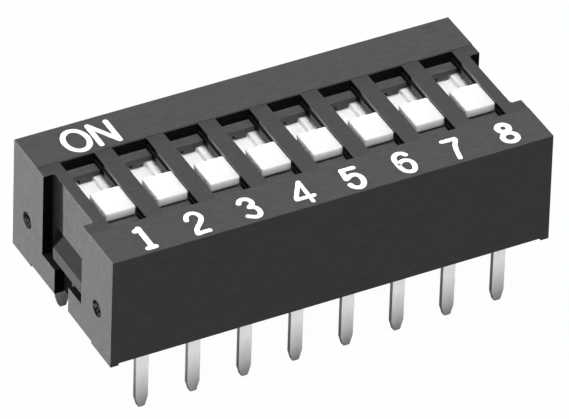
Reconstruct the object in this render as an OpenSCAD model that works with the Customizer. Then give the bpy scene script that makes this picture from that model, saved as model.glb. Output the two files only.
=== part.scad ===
// Slide switch in a dual-in-line case. A moulded cover clips over a base that holds two rows of
// pins, and each way has a white slider that carries one bridging contact.
// X runs along the row of ways, Y from the numbered side to the ON side, and Z is up.
// The origin is the middle of the pin pattern, on the plane that the cover's feet stand on.
// Each slider is drawn in its off position, at the numbered side.

/* [Ways] */
// Number of ways
ways = 8; // [2:1:12]
// Distance between neighbouring ways, and between neighbouring pins of a row
pitch = 2.54; // [2.1:0.01:3.2]
// Distance between the two rows of pins
row_gap = 7.62; // [6.3:0.01:9.6]
// Travel of a slider from off to on
travel = 1.6; // [1.3:0.05:2]

/* [Cover] */
// Length of the case past the middle of an outermost way
end_l = 1.94; // [1.8:0.01:2.6]
// Width of the case past the middle of a row of pins
side_l = 1.13; // [1:0.01:1.6]
// Height of the top above the seating plane
body_h = 5.72; // [4.7:0.01:7.5]
// Lean of each end face, measured at the seating plane
end_draft = 0.046; // [0:0.002:0.1]
// Thickness of the two long walls
wall_t = 0.7; // [0.5:0.05:0.9]
// Thickness of the walls between neighbouring cells
partition_t = 0.44; // [0.3:0.02:0.6]
// Thickness of the top over the sliders
roof_t = 0.72; // [0.6:0.02:1]
// Width of the middle strip of the top, which lies a little lower
strip_w = 5.3; // [5.2:0.05:6]
// Depth of that strip
strip_d = 0.03; // [0.01:0.01:0.06]

/* [Windows] */
// Width of a window, along the row
window_w = 1.69; // [1.4:0.01:1.9]
// Length of a window, along the slider's travel
window_l = 5.19; // [4.8:0.01:5.2]
// Depth of the ledge and of the shelf at a window's two ends, below the top
ledge_d = 0.6; // [0.5:0.02:0.7]
// Thickness of the ledge and of the shelf
ledge_t = 0.27; // [0.2:0.01:0.4]
// Length of the ledge at the on end
ledge_l = 0.55; // [0.3:0.05:0.7]
// Depth of a side groove's upper edge below the top
groove_d = 0.22; // [0.15:0.01:0.3]
// Height of a side groove
groove_h = 0.18; // [0.1:0.01:0.2]
// Depth of a side groove into its web
groove_t = 0.12; // [0.05:0.01:0.15]
// Distance of the guide ribs to the right of their windows' middles
guide_x = 0.16; // [0:0.01:0.2]
// Width of a guide rib
rib_w = 0.58; // [0.3:0.02:0.6]

/* [Clip at each end] */
// Depth of the end notches
notch_d = 0.54; // [0.4:0.02:0.6]
// Width of the end notches
notch_w = 3.9; // [3:0.05:4.4]
// Radius of a notch's inner corners
notch_r = 0.15; // [0.05:0.01:0.3]
// Height of the catches above the seating plane
catch_h = 1.42; // [1:0.02:1.6]
// Width of the slot between the two catches of an end
slot_w = 1.36; // [1:0.02:2]
// Reach of the base's wedge past its end wall
wedge_t = 0.3; // [0.2:0.01:0.4]
// Width of the wedge
wedge_w = 3.1; // [2:0.05:3.2]
// Height of the wedge's flat underside above the catches
wedge_gap = 0.03; // [0.03:0.01:0.4]
// Height of the wedge's upright face
wedge_face_h = 0.57; // [0.3:0.01:0.9]
// Height of the wedge's ramp
wedge_ramp_h = 0.9; // [0.5:0.01:1.1]
// Thickness of the base's end walls
tongue_t = 0.47; // [0.4:0.01:0.5]
// Reach of a base end wall's lower part past the wall of its notch, behind the catches
step_t = 0.12; // [0.05:0.01:0.15]

/* [Feet and marks] */
// Height of the feet
foot_h = 0.12; // [0.05:0.01:0.3]
// Length of a foot, along the row
foot_l = 0.4; // [0.2:0.05:0.8]
// Width of a foot
foot_w = 1.9; // [1:0.1:2.5]
// Diameter of the round moulding marks in the end faces
mark_d = 0.82; // [0.5:0.02:1]
// Depth of those marks
mark_t = 0.04; // [0.02:0.01:0.08]
// Distance of the marks from the middle of an end face
mark_y = 3.5; // [3:0.1:3.6]
// Height of the marks above the seating plane
mark_z = 2.25; // [1.5:0.05:3]

/* [Sliders] */
// Length of a knob, along its travel
knob_l = 1.67; // [1.4:0.01:1.8]
// Gap on each side of a knob that stands in the middle of its window
knob_gap = 0.12; // [0.08:0.01:0.2]
// Play that the sliders take up to the right
slider_lean = 0.07; // [0:0.01:0.07]
// Depth of a knob's top below the top of the case
knob_d = 0.05; // [0:0.01:0.2]
// Thickness of a knob
knob_t = 0.43; // [0.3:0.01:0.5]
// Radius of a knob's upright corners
knob_r = 0.15; // [0.05:0.01:0.3]
// Overhang of a knob in front of its stem
knob_lip = 0.19; // [0.1:0.01:0.3]
// Width of a stem
stem_w = 1.2; // [0.8:0.05:1.3]
// Thickness of a slider's plate
plate_t = 0.42; // [0.3:0.02:0.5]
// Gap on each side of a plate that lies in the middle of its cell
plate_gap = 0.1; // [0.1:0.01:0.15]
// Width of the guide channel in a plate
channel_w = 0.74; // [0.7:0.02:0.8]
// Depth of the guide channel
channel_d = 0.22; // [0.1:0.01:0.25]
// Width of the block under a plate
block_w = 1.5; // [1.3:0.05:1.56]
// Length of that block
block_l = 3; // [2.6:0.1:3.4]

/* [Base and terminals] */
// Height of the base's underside above the seating plane
base_z = 0.16; // [0.12:0.01:0.3]
// Thickness of the base's floor
base_t = 1.34; // [1:0.02:1.5]
// Length of a pin below the seating plane
pin_l = 3.43; // [2.5:0.01:4]
// Distance of each row of free pins outside its row of holes
pin_spread = 0.15; // [0:0.01:0.2]
// Width of a pin
pin_w = 0.62; // [0.4:0.01:0.7]
// Thickness of the terminal sheet
pin_t = 0.26; // [0.2:0.01:0.3]
// Length of a pin's tapered end
taper_l = 0.5; // [0.3:0.05:1]
// Width of a pin's blunt tip
tip_w = 0.38; // [0.2:0.01:0.4]
// Radius of the tip's corners
tip_r = 0.08; // [0.04:0.01:0.1]
// Width of the contact strip inside the case
strip_pad_w = 1; // [0.8:0.05:1.2]
// Gap between the two strips of a way
strip_gap = 0.3; // [0.2:0.02:0.5]

/* [Moving contacts] */
// Thickness of the contact sheet
contact_t = 0.12; // [0.08:0.01:0.16]
// Width of a moving contact
contact_w = 0.9; // [0.6:0.05:1]
// Distance of each foot from the middle of its contact
foot_reach = 1; // [0.9:0.02:1.2]
// Half the length of a foot's flat sole
sole_half = 0.12; // [0.08:0.01:0.15]
// Height of a contact's middle above its feet
contact_rise = 1.6; // [1.2:0.05:1.8]
// Length of a contact's flat middle
saddle_l = 1; // [0.8:0.05:1.2]
// Diameter of the peg that holds a contact under its slider
peg_d = 0.4; // [0.3:0.02:0.5]

/* [Fits] */
// Gap between faces that slide or stand next to each other
fit_gap = 0.03; // [0.02:0.01:0.04]
// Gap left at each end of a slider's travel
end_gap = 0.04; // [0.02:0.01:0.1]
// Gap between the base and the cover's walls
base_gap = 0.05; // [0.03:0.01:0.08]

/* [Hidden] */
$fn = 48;
over = 0.1;

// The case
body_l = (ways - 1) * pitch + 2 * end_l;
body_w = row_gap + 2 * side_l;
inner_w = body_w - 2 * wall_t;
cell_w = pitch - partition_t;
cell_row_l = (ways - 1) * pitch + cell_w;
notch_x = body_l / 2 - notch_d;

// Heights, from the base up
floor_z = base_z + base_t;
wedge_z = catch_h + wedge_gap;
tongue_h = wedge_z + wedge_face_h + wedge_ramp_h;
roof_z = body_h - roof_t;
ledge_z = body_h - ledge_d;
ceiling_z = ledge_z - ledge_t;
plate_z = ceiling_z - fit_gap;
knob_z = body_h - knob_d;

// The sliders
knob_w = window_w - 2 * knob_gap;
plate_w = cell_w - 2 * plate_gap;
plate_l = inner_w - travel - 2 * end_gap;
off_y = -travel / 2;
stem_front = -knob_l / 2 + knob_lip;
shelf_y = off_y + stem_front - end_gap;
ledge_y = window_l / 2 - ledge_l;

// The contacts
sole_z = floor_z + fit_gap + contact_t / 2;
saddle_z = sole_z + contact_rise;
block_z = saddle_z + contact_t / 2;
front_strip_end = foot_reach - travel / 2 + sole_half + fit_gap;
back_strip_end = front_strip_end + strip_gap;

function way_x(k) = (k - (ways + 1) / 2) * pitch;

// The outline of a sheet of thickness t bent along the points of a path, with mitred corners
function unit(v) = v / norm(v);
function side(a, b) = [-unit(b - a).y, unit(b - a).x];
function mitre(path, i) =
    let (last = len(path) - 1)
    let (before = side(path[max(i - 1, 0)], path[max(i, 1)]))
    let (after = side(path[min(i, last - 1)], path[min(i + 1, last)]))
    (before + after) / (1 + before * after);
function sheet_outline(path, t) = concat(
    [for (i = [0:len(path) - 1]) path[i] + mitre(path, i) * t / 2],
    [for (i = [len(path) - 1:-1:0]) path[i] - mitre(path, i) * t / 2]
);

// A box centred on X and Y that stands on the plane z
module box(size, z) {
    translate([-size.x / 2, -size.y / 2, z]) cube(size);
}

// A solid of an outline drawn in X and Z, centred on Y
module along_y(length) {
    rotate([90, 0, 0]) linear_extrude(length, center = true) children();
}

// A solid of an outline drawn in Y and Z, centred on X
module along_x(length) {
    rotate([90, 0, 90]) linear_extrude(length, center = true) children();
}

// A rectangle with round corners
module round_rectangle(length, width, r) {
    square([length - 2 * r, width], center = true);
    square([length, width - 2 * r], center = true);
    for (x = [-1, 1], y = [-1, 1])
        translate([x * (length / 2 - r), y * (width / 2 - r)]) circle(r);
}

// The case's outer block, with its leaning end faces
module outer_block() {
    foot_x = body_l / 2 + end_draft;
    top_x = body_l / 2;
    along_y(body_w) polygon([[-foot_x, 0], [foot_x, 0], [top_x, body_h], [-top_x, body_h]]);
}

// What is taken from the underside, so that only the feet reach the seating plane
module under_feet() {
    long = body_l + 2 * end_draft;
    difference() {
        box([long + 2 * over, body_w + 2 * over, foot_h + over], -over);
        for (x = [-1, 1], y = [-1, 1])
            translate([x * (long - foot_l) / 2, y * (body_w - foot_w) / 2, 0])
                box([foot_l, foot_w, foot_h + 2 * over], -over);
    }
}

// The space of one way: its window, its grooves, and the cell that its slider runs in
module cell() {
    box([window_w, window_l, ledge_d + over], ledge_z);
    box([window_w + 2 * groove_t, window_l, groove_h], body_h - groove_d - groove_h);
    translate([0, (ledge_y + shelf_y) / 2, 0]) {
        box([window_w, ledge_y - shelf_y, ledge_d], ceiling_z);
        box([cell_w, ledge_y - shelf_y, roof_z - ceiling_z], ceiling_z);
    }
    box([cell_w, inner_w, ceiling_z - floor_z], floor_z);
}

// The rib under a window's ledge, which runs in its slider's channel
module guide_rib() {
    length = inner_w / 2 - ledge_y;
    translate([guide_x, ledge_y + length / 2, 0])
        box([rib_w, length, channel_d], plate_z - channel_d + fit_gap);
}

// One end notch, with the slot between the catches and the pocket for the base's end wall
module notch() {
    deep = notch_d + over;
    pocket_x = cell_row_l / 2 - over;
    translate([notch_x + deep / 2, 0, catch_h]) {
        linear_extrude(body_h) {
            round_rectangle(deep, notch_w, notch_r);
            translate([notch_r, 0]) square([deep, notch_w], center = true);
        }
    }
    translate([notch_x + deep / 2, 0, 0]) box([deep, slot_w, catch_h + over], 0);
    translate([(notch_x + pocket_x) / 2, 0, 0])
        box([notch_x - pocket_x, notch_w, tongue_h + fit_gap], 0);
    translate([notch_x, 0, 0]) box([2 * step_t, notch_w, catch_h], 0);
}

// The two round marks of one end face
module end_marks() {
    face_x = body_l / 2 + end_draft * (1 - mark_z / body_h);
    for (y = [-1, 1])
        translate([face_x - mark_t, y * mark_y, mark_z]) rotate([0, 90, 0]) cylinder(h = 2 * over, d = mark_d);
}

module cover() {
    color("#5f5f61") {
        difference() {
            outer_block();
            under_feet();
            box([body_l + over, strip_w, strip_d + over], body_h - strip_d);
            box([cell_row_l, inner_w, floor_z + fit_gap], 0);
            for (k = [1:ways]) translate([way_x(k), 0, 0]) cell();
            for (turn = [0, 180]) rotate([0, 0, turn]) {
                notch();
                end_marks();
            }
        }
        for (k = [1:ways]) translate([way_x(k), 0, 0]) guide_rib();
    }
}

// One end wall of the base, with the wedge that holds the cover's catches down
module tongue() {
    outer_x = notch_x - fit_gap;
    wedge_x = outer_x + wedge_t;
    width = notch_w - 2 * base_gap;
    translate([outer_x - tongue_t / 2, 0, 0]) box([tongue_t, width, tongue_h - base_z], base_z);
    translate([outer_x, 0, 0]) box([2 * step_t, width, catch_h - base_z], base_z);
    along_y(wedge_w) polygon([
        [outer_x - tongue_t / 2, wedge_z],
        [wedge_x, wedge_z],
        [wedge_x, wedge_z + wedge_face_h],
        [outer_x, tongue_h],
        [outer_x - tongue_t / 2, tongue_h]
    ]);
}

// One terminal of the front row, pin and contact strip in one sheet. grow raises its upper face.
module terminal_shape(strip_end, grow) {
    pin_y = -row_gap / 2 - pin_spread;
    strip_l = strip_end - pin_y + pin_t / 2;
    translate([0, strip_end - strip_l / 2, 0]) box([strip_pad_w, strip_l, pin_t + grow], floor_z - pin_t);
    translate([0, pin_y, 0]) along_y(pin_t) {
        polygon([
            [-pin_w / 2, floor_z - pin_t],
            [-pin_w / 2, taper_l - pin_l],
            [-tip_w / 2, tip_r - pin_l],
            [tip_r - tip_w / 2, -pin_l],
            [tip_w / 2 - tip_r, -pin_l],
            [tip_w / 2, tip_r - pin_l],
            [pin_w / 2, taper_l - pin_l],
            [pin_w / 2, floor_z - pin_t]
        ]);
        for (x = [-1, 1]) translate([x * (tip_w / 2 - tip_r), tip_r - pin_l]) circle(tip_r);
    }
}

module terminal_front_shape(k, grow = 0) {
    translate([way_x(k), 0, 0]) terminal_shape(front_strip_end, grow);
}

module terminal_back_shape(k, grow = 0) {
    translate([way_x(k), 0, 0]) rotate([0, 0, 180]) terminal_shape(-back_strip_end, grow);
}

module base() {
    color("#4c4c4e") difference() {
        union() {
            box([cell_row_l - 2 * base_gap, inner_w - 2 * base_gap, base_t], base_z);
            for (turn = [0, 180]) rotate([0, 0, turn]) tongue();
        }
        for (k = [1:ways]) {
            terminal_front_shape(k, over);
            terminal_back_shape(k, over);
        }
    }
}

module terminal_front(k) {
    color("#c9c9c9") terminal_front_shape(k);
}

module terminal_back(k) {
    color("#c9c9c9") terminal_back_shape(k);
}

// Everything white in one way: knob, stem, grooved plate, and the block that carries the contact
module slider(k) {
    cheek_w = (block_w - contact_w) / 2 - fit_gap;
    channel_l = plate_l / 2 - knob_l / 2;
    color("#f4f4f2") translate([way_x(k) + slider_lean, off_y, 0]) {
        translate([0, 0, knob_z - knob_t]) linear_extrude(knob_t) round_rectangle(knob_w, knob_l, knob_r);
        translate([0, (stem_front + knob_l / 2) / 2, 0])
            box([stem_w, knob_l / 2 - stem_front, knob_z - knob_t - plate_z], plate_z);
        difference() {
            box([plate_w, plate_l, plate_t], plate_z - plate_t);
            translate([guide_x - slider_lean, knob_l / 2 + channel_l / 2 + over / 2, 0])
                box([channel_w, channel_l + over, channel_d + over], plate_z - channel_d);
        }
        box([block_w, block_l, plate_z - plate_t - block_z], block_z);
        for (x = [-1, 1])
            translate([x * (block_w - cheek_w) / 2, 0, 0]) box([cheek_w, saddle_l, 2 * contact_t], block_z - 2 * contact_t);
        translate([0, 0, block_z - 2 * contact_t]) cylinder(h = 2 * contact_t, d = peg_d);
    }
}

// The bridging contact under one slider
module contact(k) {
    half = [
        [saddle_l / 2, saddle_z],
        [foot_reach - sole_half, sole_z],
        [foot_reach + sole_half, sole_z],
        [foot_reach + 4 * sole_half, sole_z + 4 * sole_half]
    ];
    mirrored = [for (i = [len(half) - 1:-1:0]) [-half[i].x, half[i].y]];
    color("#b08d57") translate([way_x(k) + slider_lean, off_y, 0]) difference() {
        along_x(contact_w) polygon(sheet_outline(concat(mirrored, half), contact_t));
        translate([0, 0, saddle_z - over]) cylinder(h = 2 * over, d = peg_d + 2 * fit_gap);
    }
}

cover();
base();
for (k = [1:ways]) {
    terminal_front(k);
    terminal_back(k);
    slider(k);
    contact(k);
}
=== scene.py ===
"""Slide switch in a dual-in-line case: the looks of its mouldings, pins, sliders and printed legends."""

import math
from functools import partial

import bmesh
import bpy
import numpy as np
from bpy.props import FloatProperty, FloatVectorProperty, PointerProperty, StringProperty
from bpy.types import Operator, Panel, PropertyGroup
from mathutils import Matrix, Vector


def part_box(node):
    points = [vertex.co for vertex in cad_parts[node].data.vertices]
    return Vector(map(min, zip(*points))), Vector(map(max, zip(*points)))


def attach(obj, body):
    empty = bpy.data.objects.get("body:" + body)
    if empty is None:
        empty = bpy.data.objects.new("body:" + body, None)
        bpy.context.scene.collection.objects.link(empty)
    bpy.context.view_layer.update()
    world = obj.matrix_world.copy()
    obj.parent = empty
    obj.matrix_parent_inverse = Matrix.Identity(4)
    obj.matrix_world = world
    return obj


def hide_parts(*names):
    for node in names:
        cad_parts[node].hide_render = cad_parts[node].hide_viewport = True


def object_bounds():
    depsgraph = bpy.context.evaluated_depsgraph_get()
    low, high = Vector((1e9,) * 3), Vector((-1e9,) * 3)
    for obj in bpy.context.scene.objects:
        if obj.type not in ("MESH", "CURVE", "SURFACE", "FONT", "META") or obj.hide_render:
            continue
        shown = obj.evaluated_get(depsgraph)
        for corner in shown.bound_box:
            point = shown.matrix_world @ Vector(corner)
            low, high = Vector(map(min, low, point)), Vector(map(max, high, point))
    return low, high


bl_info = {
    "name": "Dual-in-line slide switch",
    "version": (1, 0, 0),
    "blender": (4, 5, 0),
    "location": "View3D > Sidebar > Slide switch",
    "description": "Builds the looks of a slide switch round its packed CAD frame",
    "category": "Add Mesh",
}

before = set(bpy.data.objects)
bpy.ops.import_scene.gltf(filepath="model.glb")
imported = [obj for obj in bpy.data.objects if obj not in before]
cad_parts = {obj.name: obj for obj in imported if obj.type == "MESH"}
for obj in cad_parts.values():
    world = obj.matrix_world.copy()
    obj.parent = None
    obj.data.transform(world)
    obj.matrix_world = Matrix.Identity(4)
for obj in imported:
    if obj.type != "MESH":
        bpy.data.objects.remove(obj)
cad_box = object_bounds()

MM = 0.001
WAYS = sum(name.startswith("slider_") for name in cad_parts)
CASE = "case"


# Sizes and colours that a user would change


class MouldingSizes(PropertyGroup):
    """The two black mouldings."""

    edge: FloatProperty(
        name="Edge radius", description="Rounding of the case's edges", default=0.015 * MM, unit="LENGTH"
    )
    colour: StringProperty(
        name="Cover colour", description="sRGB hex value of the cover's plastic", default="#3e3e40"
    )
    base_colour: StringProperty(
        name="Base colour", description="sRGB hex value of the base's plastic", default="#404042"
    )
    strip_width: FloatProperty(
        name="Strip width", description="Width of the lower middle strip of the top",
        default=5.3 * MM, unit="LENGTH",
    )
    lean: FloatProperty(
        name="End lean", description="Lean of each end face over its height",
        default=0.046 * MM, unit="LENGTH",
    )
    mark: FloatProperty(
        name="Mark diameter", description="Diameter of the round moulding marks",
        default=0.82 * MM, unit="LENGTH",
    )
    mark_depth: FloatProperty(
        name="Mark depth", description="Depth of the round moulding marks", default=0.04 * MM, unit="LENGTH"
    )
    mark_side: FloatProperty(
        name="Mark side", description="Distance of a mark from its end's middle",
        default=3.5 * MM, unit="LENGTH",
    )
    mark_height: FloatProperty(
        name="Mark height", description="Height of a mark over the seating plane",
        default=2.25 * MM, unit="LENGTH",
    )


class SliderSizes(PropertyGroup):
    """The white sliders."""

    knob_length: FloatProperty(
        name="Knob length", description="Length of a knob along its travel",
        default=1.67 * MM, unit="LENGTH",
    )
    knob_width: FloatProperty(
        name="Knob width", description="Width of a knob along the row", default=1.45 * MM, unit="LENGTH"
    )
    knob_height: FloatProperty(
        name="Knob height", description="Thickness of a knob over its lip", default=0.43 * MM, unit="LENGTH"
    )
    knob_lip: FloatProperty(
        name="Knob lip", description="Overhang of a knob in front of its stem",
        default=0.19 * MM, unit="LENGTH",
    )
    top_edge: FloatProperty(
        name="Top edge", description="Rounding of a knob's upper edge", default=0.05 * MM, unit="LENGTH"
    )
    corner: FloatProperty(
        name="Corner", description="Rounding of a knob's upright corners", default=0.08 * MM, unit="LENGTH"
    )
    stem_width: FloatProperty(
        name="Stem width", description="Width of the stem under a knob", default=1.2 * MM, unit="LENGTH"
    )
    plate_height: FloatProperty(
        name="Plate height", description="Thickness of a slider's plate", default=0.42 * MM, unit="LENGTH"
    )
    plate_drop: FloatProperty(
        name="Plate drop", description="Depth of the plate below the knob's top",
        default=0.85 * MM, unit="LENGTH",
    )
    channel_width: FloatProperty(
        name="Channel width", description="Width of the guide channel", default=0.86 * MM, unit="LENGTH"
    )
    channel_depth: FloatProperty(
        name="Channel depth", description="Depth of the guide channel", default=0.22 * MM, unit="LENGTH"
    )
    channel_shift: FloatProperty(
        name="Channel shift", description="Place of the channel from the plate's middle",
        default=0.05 * MM, unit="LENGTH",
    )
    block_width: FloatProperty(
        name="Block width", description="Width of the block under the plate",
        default=1.5 * MM, unit="LENGTH",
    )
    block_length: FloatProperty(
        name="Block length", description="Length of the block under the plate",
        default=3.0 * MM, unit="LENGTH",
    )
    saddle_length: FloatProperty(
        name="Saddle length", description="Length of the cheeks that hold the contact",
        default=1.0 * MM, unit="LENGTH",
    )
    saddle_width: FloatProperty(
        name="Saddle width", description="Gap between the cheeks that hold the contact",
        default=0.96 * MM, unit="LENGTH",
    )
    saddle_height: FloatProperty(
        name="Saddle height", description="Height of the cheeks that hold the contact",
        default=0.24 * MM, unit="LENGTH",
    )
    peg: FloatProperty(
        name="Peg", description="Diameter of the peg through the contact", default=0.4 * MM, unit="LENGTH"
    )
    colour: StringProperty(
        name="Slider colour", description="sRGB hex value of the sliders' plastic", default="#fafaf8"
    )


class TerminalSizes(PropertyGroup):
    """The two rows of terminals."""

    thickness: FloatProperty(
        name="Thickness", description="Thickness of the terminal sheet", default=0.26 * MM, unit="LENGTH"
    )
    width: FloatProperty(name="Pin width", description="Width of a pin", default=0.62 * MM, unit="LENGTH")
    tip: FloatProperty(
        name="Tip width", description="Width of a pin's blunt tip", default=0.38 * MM, unit="LENGTH"
    )
    tip_corner: FloatProperty(
        name="Tip corner", description="Radius of the tip's corners", default=0.08 * MM, unit="LENGTH"
    )
    taper: FloatProperty(
        name="Taper length", description="Length of a pin's tapered end", default=0.5 * MM, unit="LENGTH"
    )
    edge: FloatProperty(
        name="Edge radius", description="Rounding of the sheet's cut edges",
        default=0.025 * MM, unit="LENGTH",
    )
    colour: StringProperty(
        name="Tin colour", description="sRGB hex value of the tin plate", default="#f2f2f2"
    )
    contact_colour: StringProperty(
        name="Contact colour", description="sRGB hex value of the moving contacts", default="#d8b36a"
    )


class LegendSizes(PropertyGroup):
    """The printed legends."""

    stroke: FloatProperty(
        name="Stroke width", description="Usual width of a printed stroke",
        default=0.248 * MM, unit="LENGTH",
    )
    scale: FloatProperty(
        name="Figure scale", description="Size of the figures against their centrelines", default=0.96
    )
    ink: FloatProperty(
        name="Ink thickness", description="Height of the ink on the case", default=0.006 * MM, unit="LENGTH"
    )
    shift: FloatProperty(
        name="Print shift", description="How far a number lies to the right of its slider",
        default=0.03 * MM, unit="LENGTH",
    )
    colour: StringProperty(name="Ink colour", description="sRGB hex value of the ink", default="#ffffff")


class StageSizes(PropertyGroup):
    """The camera, the lamps and the floor."""

    azimuth: FloatProperty(
        name="Azimuth", description="Direction the camera looks in, from +Y towards +X",
        default=math.radians(28.26), subtype="ANGLE",
    )
    elevation: FloatProperty(
        name="Elevation", description="Height of the camera over the horizon",
        default=math.radians(37.233), subtype="ANGLE",
    )
    roll: FloatProperty(
        name="Roll", description="Turn of the camera about its own axis",
        default=math.radians(1.833), subtype="ANGLE",
    )
    distance: FloatProperty(
        name="Distance", description="Distance of the camera from its aim", default=0.33937, unit="LENGTH"
    )
    aim: FloatVectorProperty(
        name="Aim", description="Point that the camera looks at",
        default=(0.493 * MM, 0.687 * MM, 1.104 * MM),
        subtype="TRANSLATION",
    )
    lens: FloatProperty(
        name="Focal length", description="Focal length in millimetres, for a sensor 36 mm wide",
        default=482.5, unit="CAMERA",
    )


class SwitchSettings(PropertyGroup):
    """Everything that the panel shows."""

    mouldings: PointerProperty(type=MouldingSizes)
    sliders: PointerProperty(type=SliderSizes)
    terminals: PointerProperty(type=TerminalSizes)
    legends: PointerProperty(type=LegendSizes)
    stage: PointerProperty(type=StageSizes)


# Meshes


def join(parts):
    """One list of vertices and faces from several."""
    vertices, faces, first = [], [], 0
    for points, polygons in parts:
        vertices.append(points)
        faces += [[first + i for i in polygon] for polygon in polygons]
        first += len(points)
    return np.concatenate(vertices), faces


def sweep(rings, closed=False):
    """Closed skin over a row of outlines: ring i, point j joins ring i + 1, point j + 1 by a quad.

    The first and last rings are capped, or joined to each other where the path is closed."""
    count, size = rings.shape[:2]
    rows = np.arange(count if closed else count - 1)[:, None] * size
    here, after = np.arange(size), np.roll(np.arange(size), -1)
    wrap = count * size
    quads = np.stack(
        [rows + here, rows + after, (rows + size + after) % wrap, (rows + size + here) % wrap], axis=-1
    ).reshape(-1, 4)
    faces = quads.tolist()
    if not closed:
        faces += [here[::-1].tolist(), (here + size * (count - 1)).tolist()]
    return rings.reshape(-1, 3), faces


def round_rectangle(half_x, half_y, radius, steps):
    """Outline of a rectangle with round corners, anticlockwise: four quarter circles about the corner
    centres.

    The sizes may be columns, which gives one outline for each row."""
    turn = np.radians((np.arange(4)[:, None] * 90 + np.linspace(0, 90, steps + 1)).ravel())
    sign_x = np.repeat([1, -1, -1, 1], steps + 1)
    sign_y = np.repeat([1, 1, -1, -1], steps + 1)
    x = sign_x * (half_x - radius) + radius * np.cos(turn)
    y = sign_y * (half_y - radius) + radius * np.sin(turn)
    return x, y


def round_box(low, high, corner, top, bottom):
    """Block whose outline has round corners, and whose rims are quarter circles.

    Each ring is the outline drawn in by radius * (1 - sin t) at the height radius * (1 - cos t) from its
    end."""
    steps = 6
    low, high = np.array(low, float), np.array(high, float)
    middle, half = (low + high) / 2, (high - low) / 2
    t = np.radians(np.linspace(0, 90, steps + 1))
    inset = np.concatenate([bottom * (1 - np.sin(t)), top * (1 - np.sin(t[::-1]))])[:, None]
    z = np.concatenate([low[2] + bottom * (1 - np.cos(t)), high[2] - top * (1 - np.cos(t[::-1]))])[:, None]
    radius = np.maximum(corner - inset, 0.1 * corner)
    x, y = round_rectangle(half[0] - inset, half[1] - inset, radius, steps)
    return sweep(np.stack([middle[0] + x, middle[1] + y, z + 0 * x], axis=-1))


def smooth_path(points, closed):
    """Catmull-Rom curve through the points: on each stretch, the cubic whose end slopes are half
    the step between the neighbours."""
    points, samples = np.array(points, float), 10
    if closed:
        padded = np.concatenate([points[-1:], points, points[:2]])
    else:
        padded = np.concatenate([2 * points[:1] - points[1:2], points, 2 * points[-1:] - points[-2:-1]])
    before, start, end, after = padded[:-3], padded[1:-2], padded[2:-1], padded[3:]
    t = (np.arange(samples) / samples)[None, :, None]
    a, b, c, d = before[:, None], start[:, None], end[:, None], after[:, None]
    curve = 0.5 * (
        2 * b + (c - a) * t + (2 * a - 5 * b + 4 * c - d) * t**2 + (3 * b - a - 3 * c + d) * t**3
    )
    curve = curve.reshape(-1, 2)
    return curve if closed else np.concatenate([curve, points[-1:]])


def ink_stroke(points, width, closed, z, height):
    """Band of ink along a smooth path, with half-round ends.

    Past an end, the half width follows the circle r * sin t at the distance r * cos t. The width wobbles by
    about 3% with sines of the way along, as screen printing does. The band's section is a flat top with
    slanting shoulders, and a foot sunk a little into the case."""
    line = smooth_path(points, closed)
    if closed:
        slope = np.roll(line, -1, axis=0) - np.roll(line, 1, axis=0)
    else:
        slope = np.gradient(line, axis=0)
    slope /= np.linalg.norm(slope, axis=1)[:, None]
    half = np.full(len(line), width / 2)
    if not closed:
        t = np.radians(np.linspace(4, 80, 8))
        head = line[0] - slope[0] * (width / 2 * np.cos(t))[:, None]
        tail = line[-1] + slope[-1] * (width / 2 * np.cos(t[::-1]))[:, None]
        line = np.concatenate([head, line, tail])
        slope = np.concatenate([np.repeat(slope[:1], len(t), 0), slope, np.repeat(slope[-1:], len(t), 0)])
        half = np.concatenate([width / 2 * np.sin(t), half, width / 2 * np.sin(t[::-1])])
    along = np.cumsum(np.concatenate([[0], np.linalg.norm(np.diff(line, axis=0), axis=1)])) / width
    wobble = 1 + 0.035 * np.sin(5.1 * along + 40 * points[0][0] / width) * np.sin(2.3 * along + 1)
    if closed:
        wobble = 1 + 0.03 * np.sin(np.linspace(0, 14 * math.pi, len(line), endpoint=False))
    side = np.stack([-slope[:, 1], slope[:, 0]], axis=1)
    across = np.array([1, 0.9, -0.9, -1, -1, 1])
    rise = np.array([0.4, 1, 1, 0.4, -0.3, -0.3]) * height
    flat = line[:, None] + side[:, None] * (half * wobble)[:, None, None] * across[None, :, None]
    rings = np.concatenate([flat, np.broadcast_to(z + rise, flat.shape[:2])[..., None]], axis=-1)
    return sweep(rings[:, ::-1], closed)


def new_piece(name, parts, body, material, replaces=()):
    """A finished piece at the origin that rides on a body. Edges sharper than 35 degrees stay crisp."""
    points, faces = join(parts)
    mesh = bpy.data.meshes.new(name)
    mesh.from_pydata(points, [], faces)
    mesh.update()
    mesh.shade_smooth()
    mesh.set_sharp_from_angle(angle=math.radians(35))
    mesh.materials.append(material)
    piece = bpy.data.objects.new(name, mesh)
    bpy.context.scene.collection.objects.link(piece)
    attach(piece, body)
    if replaces:
        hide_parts(*replaces)


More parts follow.
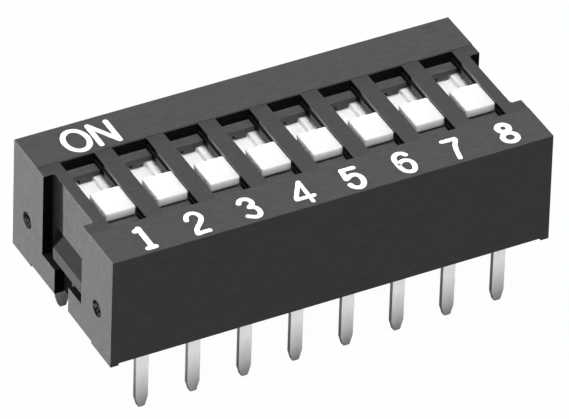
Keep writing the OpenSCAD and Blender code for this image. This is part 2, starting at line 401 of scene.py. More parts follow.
def rounded_copy(name, node, pick, width, material):
    """A copy of a CAD node, whose picked edges are rounded by a bevel. Its loose triangles are merged
    first, and the edges inside its flat faces dissolved."""
    merge, flat, sharp = 0.0005 * MM, math.radians(0.4), math.radians(40)
    bm = bmesh.new()
    bm.from_mesh(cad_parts[node].data)
    bmesh.ops.remove_doubles(bm, verts=bm.verts, dist=merge)
    bmesh.ops.dissolve_limit(bm, angle_limit=flat, verts=bm.verts, edges=bm.edges)
    mesh = bpy.data.meshes.new(name)
    bm.to_mesh(mesh)
    weights = [
        1.0 if edge.is_manifold and edge.calc_face_angle_signed() > sharp and pick(edge) else 0.0
        for edge in bm.edges
    ]
    bm.free()
    mesh.attributes.new("bevel_weight_edge", "FLOAT", "EDGE").data.foreach_set("value", weights)
    mesh.shade_flat()
    mesh.materials.clear()
    mesh.materials.append(material)
    piece = bpy.data.objects.new(name, mesh)
    bpy.context.scene.collection.objects.link(piece)
    bevel = piece.modifiers.new("rounding", "BEVEL")
    bevel.limit_method = "WEIGHT"
    bevel.width = width
    bevel.segments = 2
    bevel.use_clamp_overlap = False
    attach(piece, CASE)
    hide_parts(node)


# Materials


def linear(hex_colour):
    """The linear colour of an sRGB hex value."""
    value = np.array([int(hex_colour[i : i + 2], 16) for i in (1, 3, 5)]) / 255
    return (*np.where(value <= 0.04045, value / 12.92, ((value + 0.055) / 1.055) ** 2.4).tolist(), 1.0)


def add(material, kind, inputs=None, **settings):
    """A node with its settings. An input is a value, or the output that feeds it."""
    tree = material.node_tree
    node = tree.nodes.new(kind)
    for name, value in settings.items():
        setattr(node, name, value)
    for name, value in (inputs or {}).items():
        if isinstance(value, bpy.types.NodeSocket):
            tree.links.new(value, node.inputs[name])
        else:
            node.inputs[name].default_value = value
    return node


def new_material(name):
    """A material without nodes."""
    material = bpy.data.materials.new(name)
    material.use_nodes = True
    material.node_tree.nodes.clear()
    return material


def region(material, place, low, high):
    """An output that is 1 inside the box from low to high and 0 outside it: a test for each axis, and
    their product."""
    axes = add(material, "ShaderNodeSeparateXYZ", {0: place}).outputs
    tests = []
    for axis, a, b in zip("XYZ", low, high):
        span = {0: axes[axis], 1: (a + b) / 2, 2: (b - a) / 2}
        tests.append(add(material, "ShaderNodeMath", span, operation="COMPARE").outputs[0])
    plane = add(material, "ShaderNodeMath", {0: tests[0], 1: tests[1]}, operation="MULTIPLY").outputs[0]
    return add(material, "ShaderNodeMath", {0: plane, 1: tests[2]}, operation="MULTIPLY").outputs[0]


def moulded_polyester(name, colour, gloss, roughness, surface_and_painted_light, painted_shade_below=0.0, pitted=None):
    """Black glass-filled polyester, moulded in a ground tool: a dark satin skin with faint grinding lines
    along the row on its top and sides and upright ones on its ends, and a few pale specks of glass. Each
    given box gives the faces that look along its axis another tone, mostly painted light and shade. Where
    a tone is under the limit given after the boxes, the painted shade also takes away the faces' shine.
    The box pitted is eaten by many dark pits. Real grinding lines and glass fibres are about 0.02 mm
    across, and are drawn 0.1 mm across so that they show."""
    material = new_material(name)
    node = partial(add, material)
    place = node("ShaderNodeTexCoord").outputs["Object"]
    lines_x = node("ShaderNodeMapping", {"Vector": place, "Scale": (0.16, 1.0, 1.0)})
    lines_z = node("ShaderNodeMapping", {"Vector": place, "Scale": (1.0, 1.0, 0.4)})
    fine = node(
        "ShaderNodeTexNoise", {"Vector": lines_x.outputs[0], "Scale": 1 / (0.1 * MM), "Detail": 3.0}
    )
    upright = node(
        "ShaderNodeTexNoise", {"Vector": lines_z.outputs[0], "Scale": 1 / (0.14 * MM), "Detail": 3.0}
    )
    grain = node("ShaderNodeTexNoise", {"Vector": place, "Scale": 1 / (0.1 * MM), "Detail": 4.0})
    geometry = node("ShaderNodeNewGeometry").outputs["True Normal"]
    facing = node("ShaderNodeVectorMath", {0: geometry}, operation="ABSOLUTE")
    normal = node("ShaderNodeSeparateXYZ", {0: facing.outputs[0]})
    lines = node(
        "ShaderNodeMix",
        {"Factor": normal.outputs["X"], "A": fine.outputs["Fac"], "B": upright.outputs["Fac"]},
    )
    both = node("ShaderNodeMix", {"Factor": 0.35, "A": lines.outputs[0], "B": grain.outputs["Fac"]})
    tone = node(
        "ShaderNodeMapRange",
        {"Value": both.outputs[0], "From Min": 0.3, "From Max": 0.7, "To Min": 0.72, "To Max": 1.28},
    )
    speck = node("ShaderNodeTexVoronoi", {"Vector": place, "Scale": 1 / (1.1 * MM)})
    pale = node(
        "ShaderNodeMapRange",
        {
            "Value": speck.outputs["Distance"],
            "From Min": 0.03,
            "From Max": 0.05,
            "To Min": 1.9,
            "To Max": 1.0,
        },
    )
    tone = node("ShaderNodeMath", {0: tone.outputs[0], 1: pale.outputs[0]}, operation="MULTIPLY")
    quarter = node("ShaderNodeVectorMath", {0: place}, operation="ABSOLUTE").outputs[0]
    if pitted:
        inside = region(material, quarter, *pitted)
        pits = node("ShaderNodeTexNoise", {"Vector": place, "Scale": 1 / (0.12 * MM), "Detail": 4.0})
        holes = node(
            "ShaderNodeMapRange",
            {
                "Value": pits.outputs["Fac"],
                "From Min": 0.36,
                "From Max": 0.44,
                "To Min": 0.3,
                "To Max": 1.15,
            },
        )
        here = node("ShaderNodeMix", {"Factor": inside, "A": 1.0, "B": holes.outputs[0]})
        tone = node("ShaderNodeMath", {0: tone.outputs[0], 1: here.outputs[0]}, operation="MULTIPLY")
    shine = gloss
    # Tones of the boxes, mostly painted light and shade
    for low, high, axis, share in surface_and_painted_light:
        inside = region(material, quarter, low, high)
        here = node("ShaderNodeMath", {0: inside, 1: normal.outputs[axis]}, operation="MULTIPLY")
        factor = node("ShaderNodeMapRange", {"Value": here.outputs[0], "To Min": 1.0, "To Max": share})
        tone = node("ShaderNodeMath", {0: tone.outputs[0], 1: factor.outputs[0]}, operation="MULTIPLY")
        # Painted shade: in the darkest boxes the reflection of the white surroundings is cut too
        if share < painted_shade_below:
            shine = node(
                "ShaderNodeMath", {0: shine, 1: factor.outputs[0]}, operation="MULTIPLY"
            ).outputs[0]
    shade = node(
        "ShaderNodeVectorMath", {0: linear(colour)[:3], "Scale": tone.outputs[0]}, operation="SCALE"
    )
    rough = node(
        "ShaderNodeMapRange",
        {"Value": grain.outputs["Fac"], "To Min": roughness - 0.07, "To Max": roughness + 0.07},
    )
    bump = node("ShaderNodeBump", {"Height": both.outputs[0], "Strength": 0.3, "Distance": 0.006 * MM})
    shader = node(
        "ShaderNodeBsdfPrincipled",
        {
            "Base Color": shade.outputs[0],
            "Roughness": rough.outputs[0],
            "Normal": bump.outputs[0],
            "IOR": 1.5,
            "Specular IOR Level": shine,
        },
    )
    node("ShaderNodeOutputMaterial", {"Surface": shader.outputs[0]})
    return material


def torn_polyester_painted_shade(name):
    """Black polyester torn by an ejector pin, with pale broken crests, and painted shade that makes it near
    black in its hollows.
    """
    material = new_material(name)
    node = partial(add, material)
    place = node("ShaderNodeTexCoord").outputs["Object"]
    crests = node("ShaderNodeTexNoise", {"Vector": place, "Scale": 1 / (0.13 * MM), "Detail": 3.0})
    # Painted shade: near black in the hollows of the crests' noise
    tone = node("ShaderNodeValToRGB", {"Fac": crests.outputs["Fac"]})
    tone.color_ramp.elements[0].position = 0.5
    tone.color_ramp.elements[0].color = linear("#0a0a0b")
    tone.color_ramp.elements[1].position = 0.66
    tone.color_ramp.elements[1].color = linear("#4a4a4c")
    bump = node("ShaderNodeBump", {"Height": crests.outputs["Fac"], "Strength": 0.8, "Distance": 0.05 * MM})
    shader = node(
        "ShaderNodeBsdfPrincipled",
        {
            "Base Color": tone.outputs["Color"],
            "Roughness": 1.0,
            "Normal": bump.outputs[0],
            "IOR": 1.5,
            "Specular IOR Level": 0.0,
        },
    )
    node("ShaderNodeOutputMaterial", {"Surface": shader.outputs[0]})
    return material


def moulded_acetal(name, colour, knob_foot):
    """White acetal, moulded in a polished tool: smooth, waxy and slightly see-through, so light bleeds
    round its edges. Above the height knob_foot it is a little greyer: painted shade, which evens the
    knobs' tops, in full light, with the plates sunk below them. Its flow marks are about 0.3 mm across."""
    material = new_material(name)
    node = partial(add, material)
    place = node("ShaderNodeTexCoord").outputs["Object"]
    grain = node("ShaderNodeTexNoise", {"Vector": place, "Scale": 1 / (0.3 * MM), "Detail": 3.0})
    height = node("ShaderNodeSeparateXYZ", {0: place}).outputs["Z"]
    # Painted shade on the knobs above knob_foot
    painted_knob_shade = node(
        "ShaderNodeMapRange",
        {
            "Value": height,
            "From Min": knob_foot - 0.1 * MM,
            "From Max": knob_foot,
            "To Min": 1.0,
            "To Max": 0.86,
        },
    )
    shade = node(
        "ShaderNodeVectorMath", {0: linear(colour)[:3], "Scale": painted_knob_shade.outputs[0]}, operation="SCALE"
    )
    rough = node("ShaderNodeMapRange", {"Value": grain.outputs["Fac"], "To Min": 0.3, "To Max": 0.45})
    bump = node("ShaderNodeBump", {"Height": grain.outputs["Fac"], "Strength": 0.2, "Distance": 0.01 * MM})
    shader = node(
        "ShaderNodeBsdfPrincipled",
        {
            "Base Color": shade.outputs[0],
            "Roughness": rough.outputs[0],
            "Normal": bump.outputs[0],
            "IOR": 1.48,
            "Subsurface Weight": 1.0,
            "Subsurface Radius": (1.0, 1.0, 1.0),
            "Subsurface Scale": 0.4 * MM,
        },
    )
    node("ShaderNodeOutputMaterial", {"Surface": shader.outputs[0]})
    return material


def plated_strip(name, colour, tip):
    """Bright plate on strip rolled and stamped from copper alloy: soft reflections, drawn out by the
    rolling lines along the strip. The sheared edges are darker. Over the last 2.2 mm down to the tip the
    plate greys: a painted reflection of the shaded floor near the tips. Real rolling lines are about 0.01
    mm across, and are drawn 0.08 mm across so that they show."""
    root = tip + 2.2 * MM
    material = new_material(name)
    node = partial(add, material)
    place = node("ShaderNodeTexCoord").outputs["Object"]
    along = node("ShaderNodeMapping", {"Vector": place, "Scale": (1.0, 1.0, 0.12)})
    lines = node(
        "ShaderNodeTexNoise", {"Vector": along.outputs[0], "Scale": 1 / (0.08 * MM), "Detail": 3.0}
    )
    clouds = node("ShaderNodeTexNoise", {"Vector": place, "Scale": 1 / (0.6 * MM), "Detail": 2.0})
    height = node("ShaderNodeSeparateXYZ", {0: place}).outputs["Z"]
    # Painted reflection: the plate greys towards the tip, as the shaded floor near it would show
    painted_tip_shade = node(
        "ShaderNodeMapRange",
        {"Value": height, "From Min": tip, "From Max": root, "To Min": 0.33, "To Max": 0.9},
    )
    normal = node("ShaderNodeNewGeometry").outputs["True Normal"]
    across = node("ShaderNodeVectorMath", {0: normal, 1: (1.0, 0.0, 0.0)}, operation="DOT_PRODUCT")
    edge = node("ShaderNodeMath", {0: across.outputs["Value"]}, operation="ABSOLUTE")
    sheared = node(
        "ShaderNodeMapRange",
        {"Value": edge.outputs[0], "From Min": 0.3, "From Max": 0.9, "To Min": 1.0, "To Max": 0.45},
    )
    streak = node("ShaderNodeMapRange", {"Value": lines.outputs["Fac"], "To Min": 0.88, "To Max": 1.12})
    tone = node("ShaderNodeMath", {0: painted_tip_shade.outputs[0], 1: sheared.outputs[0]}, operation="MULTIPLY")
    tone = node("ShaderNodeMath", {0: tone.outputs[0], 1: streak.outputs[0]}, operation="MULTIPLY")
    shade = node(
        "ShaderNodeVectorMath", {0: linear(colour)[:3], "Scale": tone.outputs[0]}, operation="SCALE"
    )
    rough = node("ShaderNodeMapRange", {"Value": clouds.outputs["Fac"], "To Min": 0.26, "To Max": 0.42})
    bump = node("ShaderNodeBump", {"Height": lines.outputs["Fac"], "Strength": 0.2, "Distance": 0.004 * MM})
    shader = node(
        "ShaderNodeBsdfPrincipled",
        {
            "Base Color": shade.outputs[0],
            "Metallic": 1.0,
            "Roughness": rough.outputs[0],
            "Normal": bump.outputs[0],
        },
    )
    node("ShaderNodeOutputMaterial", {"Surface": shader.outputs[0]})
    return material


def printing_ink(name, colour):
    """White screen-printing ink: flat and opaque, with the slight grain that the screen leaves. A real
    screen's threads are about 0.05 mm apart, and the grain is drawn 0.1 mm across so that it shows."""
    material = new_material(name)
    node = partial(add, material)
    place = node("ShaderNodeTexCoord").outputs["Object"]
    grain = node("ShaderNodeTexNoise", {"Vector": place, "Scale": 1 / (0.1 * MM), "Detail": 2.0})
    rough = node("ShaderNodeMapRange", {"Value": grain.outputs["Fac"], "To Min": 0.5, "To Max": 0.7})
    bump = node("ShaderNodeBump", {"Height": grain.outputs["Fac"], "Strength": 0.2, "Distance": 0.003 * MM})
    shader = node(
        "ShaderNodeBsdfPrincipled",
        {"Base Color": linear(colour), "Roughness": rough.outputs[0], "Normal": bump.outputs[0]},
    )
    node("ShaderNodeOutputMaterial", {"Surface": shader.outputs[0]})
    return material


# Operators, one for each group of pieces


def settings(context):
    """The switch's settings."""
    return context.scene.slide_switch


class SWITCH_OT_case(Operator):
    """Cover and base: copies of the CAD mouldings with rounded edges"""

    bl_idname = "switch.case"
    bl_label = "Case"

    def execute(self, context):
        sizes = settings(context).mouldings
        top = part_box("cover")[1]
        end_x, side_y, shortest = top.x - 0.06 * MM, top.y - 0.01 * MM, 0.3 * MM
        wedge_x, wedge_z = 10.0 * MM, 1.6 * MM

        def cover_edge(edge):
            """The long edges of the outer faces, whose ends lean in by less than 0.06 mm."""
            a, b = edge.verts[0].co, edge.verts[1].co
            middle = (a + b) / 2
            outside = abs(middle.x) > end_x or abs(middle.y) > side_y
            return outside and max(abs(a.x - b.x), abs(a.y - b.y), abs(a.z - b.z)) > shortest

        def base_edge(edge):
            """The edges of the two wedges, which stand in the cover's end notches."""
            middle = (edge.verts[0].co + edge.verts[1].co) / 2
            return abs(middle.x) > wedge_x and middle.z > wedge_z

        notch = top.x - 0.6 * MM
        pitted = ((notch - 0.1 * MM, 0, 1.5 * MM), (notch + 0.12 * MM, 1.9 * MM, top.z - 0.03 * MM))
        # The cover's tone boxes are mostly painted light and shade, and the darkest of them also lose their
        # shine as painted shade
        black = moulded_polyester(
            "moulded_polyester_cover", sizes.colour, gloss=0.24, roughness=0.55,
            surface_and_painted_light=cover_surface_and_painted_light(sizes), painted_shade_below=0.2, pitted=pitted,
        )
        rounded_copy("case_cover", "cover", cover_edge, sizes.edge, black)
        inner = moulded_polyester(
            "moulded_polyester_base", sizes.base_colour, gloss=0.05, roughness=0.8, surface_and_painted_light=base_ramp_darkening()
        )
        rounded_copy("case_base", "base", base_edge, sizes.edge, inner)
        torn = torn_polyester_painted_shade("torn_polyester_painted_shade")
        for side, x in (("left", -1), ("right", 1)):
            for row, y in (("front", -1), ("back", 1)):
                scar = ejector_scar(x, y * sizes.mark_side, sizes)
                new_piece(f"ejector_scar_{side}_{row}", [scar], CASE, torn)
        return {"FINISHED"}


def cover_surface_and_painted_light(sizes):
    """Boxes of the cover's first quarter whose tone differs, each with the axis that its faces look along
    and their tone. The lower strip of the top has a surface of its own. The rest is painted light and
    shade: a painted highlight on the strip's risers, painted shadow on the windows' side walls near their
    ends and painted light on them between, painted shade on the long faces, on the windows' end walls and
    in the sunk marks, painted light on the ledges, and painted shadow on the walls and catch tops of the
    end notches."""
    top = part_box("cover")[1]
    strip, riser = sizes.strip_width / 2, 0.02 * MM
    under = top.z - 0.035 * MM
    row_x, window_y, inner_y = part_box(f"slider_{WAYS}")[1].x + 0.2 * MM, strip - 0.03 * MM, 1.6 * MM
    deep, ledge = top.z - 1.2 * MM, top.z - 0.6 * MM
    face = top.x - sizes.lean * (sizes.mark_height / top.z)
    side, height, half = sizes.mark_side, sizes.mark_height, 0.55 * sizes.mark
    mark_low = (face - 0.06 * MM, side - half, height - half)
    mark_high = (face - 0.02 * MM, side + half, height + half)
    notch_x, notch_y = top.x - 0.7 * MM, 2 * MM
    return [
        ((0, 0, top.z - 0.1 * MM), (top.x, strip, top.z), "Z", 0.8),
        # Painted light and shade from here on: highlight on the risers, shadow and light on the windows'
        # side walls, shade on the long faces, the windows' end walls and the sunk marks, light on the
        # ledges, and shadow in the end notches
        ((0, strip - riser, top.z - 0.04 * MM), (top.x, strip + riser, top.z), "Y", 2.4),
        ((0, inner_y, deep), (row_x, window_y, under), "X", 0.12),
        ((0, 0, deep), (row_x, inner_y, under), "X", 2.4),
        ((0, top.y - 0.1 * MM, 0), (top.x, top.y, under), "Y", 0.5),
        ((0, 0, ledge), (row_x, window_y, under), "Y", 0.12),
        ((0, 0, ledge - 0.02 * MM), (row_x, window_y, ledge + 0.02 * MM), "Z", 1.5),
        (mark_low, mark_high, "X", 0.15),
        ((notch_x, 0, 0), (top.x, notch_y, under), "Y", 0.06),
        ((notch_x, 0, 1 * MM), (top.x, notch_y, 1.6 * MM), "Z", 0.15),
    ]


def base_ramp_darkening():
    """The ramp of each end's wedge, drawn darker than the face under it, as one box in the form that the
    cover's boxes take."""
    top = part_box("base")[1]
    return [((top.x - 0.31 * MM, 0, top.z - 0.87 * MM), (top.x, 1.6 * MM, top.z), "X", 0.12)]


def ejector_scar(side, y, sizes):
    """Rough disc left by an ejector pin in a sunk mark: rings at shares of its radius, whose height rises
    from the rim to a flat crown, with ripples sin(k * angle + phase) that die out towards the middle and
    the rim."""
    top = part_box("cover")[1]
    turn = np.linspace(0, 2 * math.pi, 40, endpoint=False)
    share = np.array([1.0, 1.0, 0.97, 0.88, 0.74, 0.58, 0.4, 0.22, 0.05])[:, None]
    rise = np.array([-0.1, 0.12, 0.42, 0.62, 0.72, 0.76, 0.78, 0.8, 0.8])[:, None]
    ripple = np.sin(3 * turn + 9 * share + y / MM) + 0.7 * np.sin(7 * turn - 14 * share + side)
    height = (rise + 0.16 * ripple * share * (1 - share**6)) * sizes.mark_depth
    face = top.x - sizes.lean * (sizes.mark_height / top.z)
    radius = share * 0.45 * sizes.mark
    z = sizes.mark_height + radius * np.sin(turn)
    lean = sizes.lean * (sizes.mark_height - z) / top.z
    x = side * (face - sizes.mark_depth + height + lean)
    rings = np.stack([x, y + side * radius * np.cos(turn), z], axis=-1)
    return sweep(rings)


class SWITCH_OT_sliders(Operator):
    """White sliders: knob, stem, grooved plate, and the block with the contact's seat"""

    bl_idname = "switch.sliders"
    bl_label = "Sliders"

    def execute(self, context):
        sizes = settings(context).sliders
        knob_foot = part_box("slider_1")[1].z - sizes.knob_height
        white = moulded_acetal("moulded_acetal", sizes.colour, knob_foot)
        for way in range(1, WAYS + 1):
            node = f"slider_{way}"
            parts = slider_parts(node, sizes)
            new_piece(f"white_slider_{way}", parts, f"switch_{way}", white, [node])
        return {"FINISHED"}


def slider_parts(node, sizes):
    """The blocks and the plate of one slider, placed in the box of its CAD node."""
    low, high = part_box(node)
    x, y = (low.x + high.x) / 2, (low.y + high.y) / 2
    edge, knob_edge = 0.03 * MM, 0.05 * MM
    stem_back, round_peg = 0.01 * MM, sizes.peg / 2 - 0.001 * MM
    knob = (sizes.knob_width / 2, sizes.knob_length / 2)
    knob_foot = high.z - sizes.knob_height
    plate_top = high.z - sizes.plate_drop
    plate_foot = plate_top - sizes.plate_height
    block_foot = low.z + sizes.saddle_height
    cheek_x = (sizes.saddle_width / 2, sizes.block_width / 2)
    block = (sizes.block_width / 2, sizes.block_length / 2)
    saddle, peg = sizes.saddle_length / 2, sizes.peg / 2
    parts = [
        round_box(
            (x - knob[0], y - knob[1], knob_foot), (x + knob[0], y + knob[1], high.z),
            sizes.corner, sizes.top_edge, knob_edge,
        ),
        round_box(
            (x - sizes.stem_width / 2, y - knob[1] + sizes.knob_lip, plate_top - edge),
            (x + sizes.stem_width / 2, y + knob[1] - stem_back, knob_foot + 2 * edge),
            edge, edge, edge,
        ),
        plate(x, (low.x, high.x), (low.y, high.y), y + knob[1], plate_foot, plate_top, sizes),
        round_box(
            (x - block[0], y - block[1], block_foot), (x + block[0], y + block[1], plate_foot + edge),
            edge, edge, edge,
        ),
        round_box(
            (x - peg, y - peg, low.z), (x + peg, y + peg, block_foot + edge), round_peg, edge, edge
        ),
    ]
    for sign in (-1, 1):
        side = sorted((x + sign * cheek_x[0], x + sign * cheek_x[1]))
        foot, head = (side[0], y - saddle, low.z), (side[1], y + saddle, block_foot + edge)
        parts.append(round_box(foot, head, edge, edge, edge))
    return parts


def plate(x, span_x, span_y, channel_start, foot, top, sizes):
    """Plate carried along Y: a flat section up to the knob's back, and a section with a sunk channel past
    it.

    Across the plate, the top's depth is channel_depth inside the channel and 0 outside it, with round
    corners."""
    edge = 0.03 * MM
    middle = x + sizes.channel_shift
    half = sizes.channel_width / 2
    t = np.radians(np.linspace(0, 90, 5))
    fall_x, fall_z = edge * np.sin(t), edge * (1 - np.cos(t))
    left = [middle - half - edge + fall_x, middle - half + edge - fall_x[::-1]]
    drop = [fall_z / sizes.channel_depth, 1 - fall_z[::-1] / sizes.channel_depth]
    across = np.concatenate([[span_x[0]], *left, *[2 * middle - v[::-1] for v in left[::-1]], [span_x[1]]])
    depth = np.concatenate([[0], *drop, *[v[::-1] for v in drop[::-1]], [0]])
    path = np.array([span_y[0], channel_start, channel_start, span_y[1]])
    cut = np.array([0, 0, 1, 1])[:, None] * sizes.channel_depth
    z = top - cut * depth
    rim_x = np.array([span_x[1], span_x[0]])
    ring_x = np.concatenate([across, rim_x])[None].repeat(len(path), 0)
    ring_z = np.concatenate([z, np.full((len(path), 2), foot)], axis=1)
    rings = np.stack([ring_x, path[:, None] + 0 * ring_x, ring_z], axis=-1)
    return sweep(rings)


class SWITCH_OT_terminals(Operator):
    """Two rows of terminals, bent from tin-plated sheet, and the moving contacts"""

    bl_idname = "switch.terminals"
    bl_label = "Terminals"

    def execute(self, context):
        sizes = settings(context).terminals
        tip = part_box("terminal_front_1")[0].z
        tin = plated_strip("tin_plate", sizes.colour, tip)
        for row, inward in (("front", 1), ("back", -1)):
            for way in range(1, WAYS + 1):
                node = f"terminal_{row}_{way}"
                part = terminal_part(node, inward, sizes)
                new_piece(f"{row}_pin_{way}", [part], CASE, tin, [node])
        gilt = plated_strip("plated_spring_bronze", sizes.contact_colour, tip)
        for way in range(1, WAYS + 1):
            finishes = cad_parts[f"contact_{way}"].data.materials
            finishes.clear()
            finishes.append(gilt)
        return {"FINISHED"}


def terminal_part(node, inward, sizes):
    """Rounded strip carried along an L: up the pin, round a tight bend, and in along the base's floor.

    The half width grows from the flat tip round its corners, along the taper to the pin's width, and then
    to the strip's just under the bend."""
    low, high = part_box(node)
    x = (low.x + high.x) / 2
    t = sizes.thickness
    outer_y = low.y if inward > 0 else high.y
    pin_y, floor = outer_y + inward * t / 2, high.z - t / 2
    end_y = high.y if inward > 0 else low.y
    r = sizes.tip_corner
    arc = np.radians(np.linspace(0, 90, 6))
    heights = [low.z + sizes.taper, floor - 1.6 * t, floor - 1.2 * t, floor - t / 2]
    up = np.concatenate([low.z + r * (1 - np.cos(arc)), heights])
    half_strip = (high.x - low.x) / 2
    half_up = np.concatenate([sizes.tip / 2 - r + r * np.sin(arc), [sizes.width / 2] * 2, [half_strip] * 2])
    bend = np.radians(np.linspace(0, 90, 6)[1:])
    bend_y = pin_y + inward * t / 2 * (1 - np.cos(bend))
    bend_z = floor - t / 2 + t / 2 * np.sin(bend)
    path_y = np.concatenate([np.full(len(up), pin_y), bend_y, [end_y]])
    path_z = np.concatenate([up, bend_z, [floor]])
    turn = np.concatenate([np.zeros(len(up)), bend, [math.pi / 2]])
    half_x = np.concatenate([half_up, np.full(len(bend) + 1, half_strip)])[:, None]
    edge = np.minimum(sizes.edge, half_x * 0.6)
    across, thick = round_rectangle(half_x, t / 2, edge, 3)
    y = path_y[:, None] - inward * thick * np.cos(turn)[:, None]
    z = path_z[:, None] + thick * np.sin(turn)[:, None]
    rings = np.stack([x + across, y, z], axis=-1)
    return sweep(rings[:, ::-1] if inward < 0 else rings)


# Centrelines of the legends, nearly in millimetres, from the middle of each figure. A stroke is its points,
# its width as a share of the usual one, and whether it closes.
ROUND = [(math.cos(a), math.sin(a)) for a in np.linspace(0, 2 * math.pi, 16, endpoint=False)]


def ring(x, y, half_x, half_y):
    """Points of an ellipse about x, y."""
    return [(x + half_x * c, y + half_y * s) for c, s in ROUND]


FIGURES = {
    "O": [(ring(0, 0, 0.58, 0.78), 1.04, True)],
    "N": [
        ([(-0.465, 0.78), (-0.465, -0.75)], 1.02, False),
        ([(-0.445, 0.76), (0.445, -0.73)], 1.07, False),
        ([(0.465, 0.76), (0.465, -0.76)], 1.02, False),
    ],
    "1": [
        ([(0.035, 0.755), (0.035, -0.72)], 1.07, False),
        ([(-0.19, 0.61), (0.02, 0.72)], 1.07, False),
        ([(-0.19, -0.75), (0.19, -0.75)], 1.05, False),
    ],
    "2": [
        ([(-0.36, 0.36), (-0.31, 0.51), (-0.2, 0.67), (-0.02, 0.75), (0.17, 0.71), (0.31, 0.53),
          (0.34, 0.3), (0.22, 0.06), (0, -0.18), (-0.22, -0.43), (-0.32, -0.72)], 0.93, False),
        ([(-0.31, -0.75), (0, -0.72), (0.27, -0.73)], 0.96, False),
    ],
    "3": [
        ([(-0.31, 0.46), (-0.17, 0.65), (0, 0.68), (0.18, 0.6), (0.28, 0.4), (0.23, 0.2),
          (0.02, 0.02)], 1.0, False),
        ([(0.02, 0.02), (0.22, -0.05), (0.32, -0.25), (0.31, -0.5), (0.19, -0.69), (0.01, -0.75),
          (-0.17, -0.66), (-0.33, -0.55)], 0.98, False),
    ],
    "4": [
        ([(0.24, 0.77), (-0.4, -0.28)], 0.85, False),
        ([(-0.41, -0.4), (0.45, -0.4)], 0.9, False),
        ([(0.25, 0.76), (0.22, -0.79)], 0.78, False),
    ],
    "5": [
        ([(-0.25, 0.69), (0.35, 0.68)], 1.0, False),
        ([(-0.25, 0.68), (-0.31, 0.04)], 1.05, False),
        ([(-0.31, 0.02), (-0.05, 0.17), (0.18, 0.18), (0.34, 0.02), (0.38, -0.25), (0.29, -0.55),
          (0.1, -0.75), (-0.12, -0.75), (-0.29, -0.6), (-0.34, -0.43)], 1.05, False),
    ],
    "6": [
        ([(0.34, 0.53), (0.24, 0.68), (0.04, 0.74), (-0.17, 0.64), (-0.29, 0.44), (-0.32, 0.14),
          (-0.31, -0.26), (-0.22, -0.56), (0, -0.71), (0.21, -0.65), (0.35, -0.4), (0.38, -0.13),
          (0.29, 0.07), (0.09, 0.17), (-0.1, 0.13), (-0.25, 0.02)], 0.98, False),
    ],
    "7": [
        ([(-0.34, 0.67), (-0.1, 0.66), (0.3, 0.65)], 0.95, False),
        ([(0.32, 0.58), (0.22, 0.4), (0.1, 0.18), (0, -0.12), (-0.07, -0.45), (-0.13, -0.75)], 0.9, False),
    ],
    "8": [
        (ring(0.075, 0.41, 0.27, 0.28), 1.13, True),
        (ring(0.055, -0.34, 0.345, 0.34), 1.05, True),
    ],
}


class SWITCH_OT_legends(Operator):
    """Printed legends: a number before each way, and ON at the back"""

    bl_idname = "switch.legends"
    bl_label = "Legends"

    def execute(self, context):
        sizes = settings(context).legends
        ink = printing_ink("printing_ink", sizes.colour)
        top_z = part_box("cover")[1].z
        unit = sizes.scale * MM
        letter_y, number_y = 3.69 * MM, -3.9 * MM
        places = {"O": (-8.42 * MM, letter_y), "N": (-7.08 * MM, letter_y)}
        for way in range(1, WAYS + 1):
            low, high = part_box(f"slider_{way}")
            places[str(way)] = ((low.x + high.x) / 2, number_y)
        for figure, (x, y) in places.items():
            parts = [
                ink_stroke(
                    [(x + sizes.shift + px * unit, y + py * unit) for px, py in points],
                    share * sizes.stroke, closed, top_z, sizes.ink * (1 + 0.25 * layer),
                )
                for layer, (points, share, closed) in enumerate(FIGURES[figure])
            ]
            new_piece(f"printed_{figure}", parts, CASE, ink)
        return {"FINISHED"}


class SWITCH_OT_stage(Operator):
    """Camera, lamps, floor and background"""

    bl_idname = "switch.stage"
    bl_label = "Stage"

    def execute(self, context):
        sizes = settings(context).stage
        place_camera(context, sizes)
        place_floor(context)
        # A low key from behind on the left, a steep lamp over the front that reaches into the windows,
        # a wide soft one before the front, and two weak panels
        place_sun(context, "key", azimuth=-32, elevation=2, strength=13, spread=4)
        place_sun(context, "overhead", azimuth=180, elevation=80, strength=2.9, spread=24)
        place_sun(context, "front", azimuth=180, elevation=42, strength=0.6, spread=50)
        place_panel(context, "front_left", (-10 * MM, -50 * MM, 60 * MM), size=40 * MM, power=0.0058)
        place_panel(context, "front_right", (50 * MM, -70 * MM, 20 * MM), size=40 * MM, power=0.0030)
        place_world(context)
        context.scene.view_settings.view_transform = "Standard"
        return {"FINISHED"}


def place_camera(context, sizes):
    """Camera on the sphere about its aim, turned about its own axis by the roll."""
    az, el, roll = sizes.azimuth, sizes.elevation, sizes.roll
    forward = np.array([math.sin(az) * math.cos(el), math.cos(az) * math.cos(el), -math.sin(el)])
    level = np.array([math.cos(az), -math.sin(az), 0.0])
    above = np.cross(level, forward)
    right = math.cos(roll) * level + math.sin(roll) * above
    up = np.cross(right, forward)
    place = np.array(sizes.aim) - sizes.distance * forward
    data = bpy.data.cameras.new("camera")
    data.sensor_width = 36
    data.lens = sizes.lens
    data.clip_start, data.clip_end = 0.001, 20
    context.scene.camera = put(context, data, (right, up, -forward), place)


def put(context, data, axes, place):
    """An object for a camera or lamp, whose three axes point as given. It looks or shines against the
    third."""
    item = bpy.data.objects.new(data.name, data)
    context.scene.collection.objects.link(item)
    matrix = np.eye(4)
    matrix[:3, :3] = np.transpose(axes)
    matrix[:3, 3] = place
    item.matrix_world = Matrix(matrix.tolist())
    return item


def place_lamp(context, data, place, towards):
    """A lamp that shines back along the direction towards."""
    z = np.array(towards) / np.linalg.norm(towards)
    x = np.cross([0, 0, 1], z)
    x /= np.linalg.norm(x)
    put(context, data, (x, np.cross(z, x), z), place)


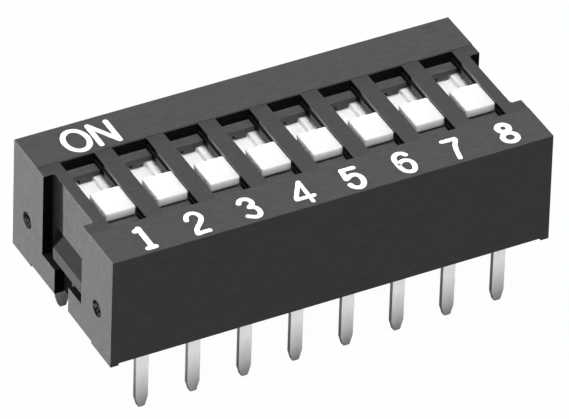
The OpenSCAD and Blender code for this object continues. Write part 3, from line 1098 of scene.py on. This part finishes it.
def place_sun(context, name, azimuth, elevation, strength, spread):
    """A distant lamp at an azimuth from +Y towards +X, whose disc spans the angle spread, in degrees."""
    data = bpy.data.lights.new(name, "SUN")
    data.energy = strength
    data.angle = math.radians(spread)
    az, el = math.radians(azimuth), math.radians(elevation)
    towards = (math.sin(az) * math.cos(el), math.cos(az) * math.cos(el), math.sin(el))
    place_lamp(context, data, (0, 0, 0), towards)


def place_panel(context, name, place, size, power):
    """A square lamp at a place, turned to the origin."""
    data = bpy.data.lights.new(name, "AREA")
    data.size = size
    data.energy = power
    place_lamp(context, data, place, place)


def place_floor(context):
    """A round sheet just under the pin tips. To the camera it is white with a faint shadow, in
    reflections it is pale grey, and to other light it is dark grey, so that little of it comes back from
    below."""
    radius, corners = 0.6, 96
    low = cad_box[0].z - 0.02 * MM
    turn = np.linspace(0, 2 * math.pi, corners, endpoint=False)
    points = np.stack([radius * np.cos(turn), radius * np.sin(turn), np.full(corners, low)], axis=-1)
    mesh = bpy.data.meshes.new("floor")
    mesh.from_pydata(points, [], [list(range(corners))])
    paper = new_material("matt_white_paper")
    seen = seen_ray(paper)
    tone = add(paper, "ShaderNodeMapRange", {"Value": seen, "To Min": 0.2, "To Max": 0.65})
    ray = add(paper, "ShaderNodeLightPath")
    white = add(
        paper, "ShaderNodeMapRange", {"Value": ray.outputs["Is Camera Ray"], "To Min": 0.1, "To Max": 0.98}
    )
    share = add(paper, "ShaderNodeMath", {0: white.outputs[0], 1: seen}, operation="MULTIPLY")
    grey = add(
        paper, "ShaderNodeCombineColor", {name: tone.outputs[0] for name in ("Red", "Green", "Blue")}
    )
    diffuse = add(paper, "ShaderNodeBsdfDiffuse", {"Color": grey.outputs[0]})
    glow = add(paper, "ShaderNodeEmission", {"Color": linear("#ffffff"), "Strength": 1.0})
    mixed = add(
        paper, "ShaderNodeMixShader", {0: share.outputs[0], 1: diffuse.outputs[0], 2: glow.outputs[0]}
    )
    add(paper, "ShaderNodeOutputMaterial", {"Surface": mixed.outputs[0]})
    mesh.materials.append(paper)
    floor = bpy.data.objects.new("floor", mesh)
    context.scene.collection.objects.link(floor)


def seen_ray(owner):
    """An output that is 1 for a ray from the camera, a reflection or a refraction, and 0 for others."""
    ray = add(owner, "ShaderNodeLightPath").outputs
    seen = ray["Is Camera Ray"]
    for kind in ("Is Glossy Ray", "Is Transmission Ray"):
        seen = add(owner, "ShaderNodeMath", {0: seen, 1: ray[kind]}, operation="MAXIMUM").outputs[0]
    return seen


def place_world(context):
    """A little soft light from all round, and white to the camera and in reflections."""
    world = bpy.data.worlds.new("studio")
    context.scene.world = world
    world.use_nodes = True
    world.node_tree.nodes.clear()
    strength = add(world, "ShaderNodeMapRange", {"Value": seen_ray(world), "To Min": 0.03, "To Max": 1.0})
    glow = add(world, "ShaderNodeBackground", {"Color": linear("#ffffff"), "Strength": strength.outputs[0]})
    add(world, "ShaderNodeOutputWorld", {"Surface": glow.outputs[0]})


class SWITCH_PT_panel(Panel):
    """The switch's operators and settings"""

    bl_label = "Slide switch"
    bl_idname = "SWITCH_PT_panel"
    bl_space_type = "VIEW_3D"
    bl_region_type = "UI"
    bl_category = "Slide switch"

    def draw(self, context):
        for operator in OPERATORS:
            self.layout.operator(operator.bl_idname)
        for group in ("mouldings", "sliders", "terminals", "legends", "stage"):
            values = getattr(settings(context), group)
            box = self.layout.box()
            box.label(text=group.capitalize())
            for name in values.__annotations__:
                box.prop(values, name)


SIZES = (MouldingSizes, SliderSizes, TerminalSizes, LegendSizes, StageSizes, SwitchSettings)
OPERATORS = (SWITCH_OT_case, SWITCH_OT_sliders, SWITCH_OT_terminals, SWITCH_OT_legends, SWITCH_OT_stage)
CLASSES = (*SIZES, *OPERATORS, SWITCH_PT_panel)


def register():
    for item in CLASSES:
        bpy.utils.register_class(item)
    bpy.types.Scene.slide_switch = PointerProperty(type=SwitchSettings)


def unregister():
    del bpy.types.Scene.slide_switch
    for item in reversed(CLASSES):
        bpy.utils.unregister_class(item)


def main():
    register()
    bpy.ops.switch.case()
    bpy.ops.switch.sliders()
    bpy.ops.switch.terminals()
    bpy.ops.switch.legends()
    bpy.ops.switch.stage()


if __name__ == "__main__":
    main()
